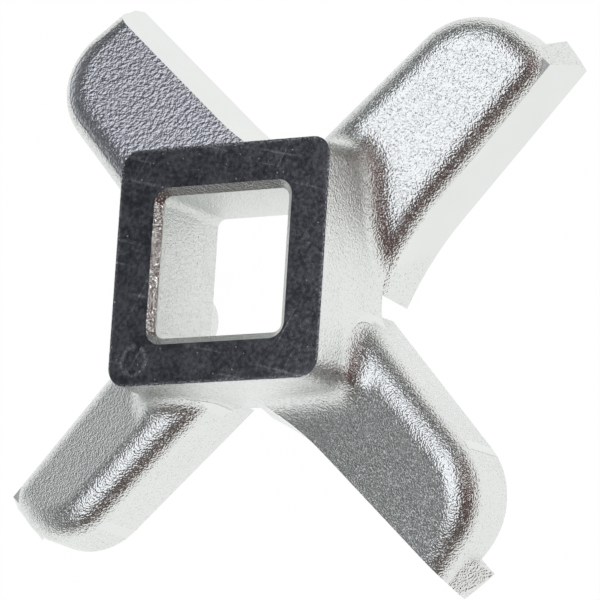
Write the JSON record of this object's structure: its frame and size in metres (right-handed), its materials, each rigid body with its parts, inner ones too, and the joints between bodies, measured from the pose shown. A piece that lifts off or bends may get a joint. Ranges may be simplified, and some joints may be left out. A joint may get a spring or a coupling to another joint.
{
  "type": "meat grinder knife",
  "caption": "Cross-shaped cast knife with a raised square hub and square drive hole; each arm has a straight ground cutting edge, a sloped cast back and a rounded end with a small tab.",
  "frame": {"origin": "on the axis of the square bore, in the cutting plane that the four lands share", "axes": "+Z along the bore, from the cutting plane towards the ground face of the hub; X and Y square to the flats of the hub and of the bore"},
  "size_m": [0.04, 0.04, 0.01],
  "materials": {
    "cast_steel": "cast and polished, with ground hub face and cutting lands"
  },
  "bodies": {
    "root": {"knife": "cast_steel"}
  },
  "joints": []
}
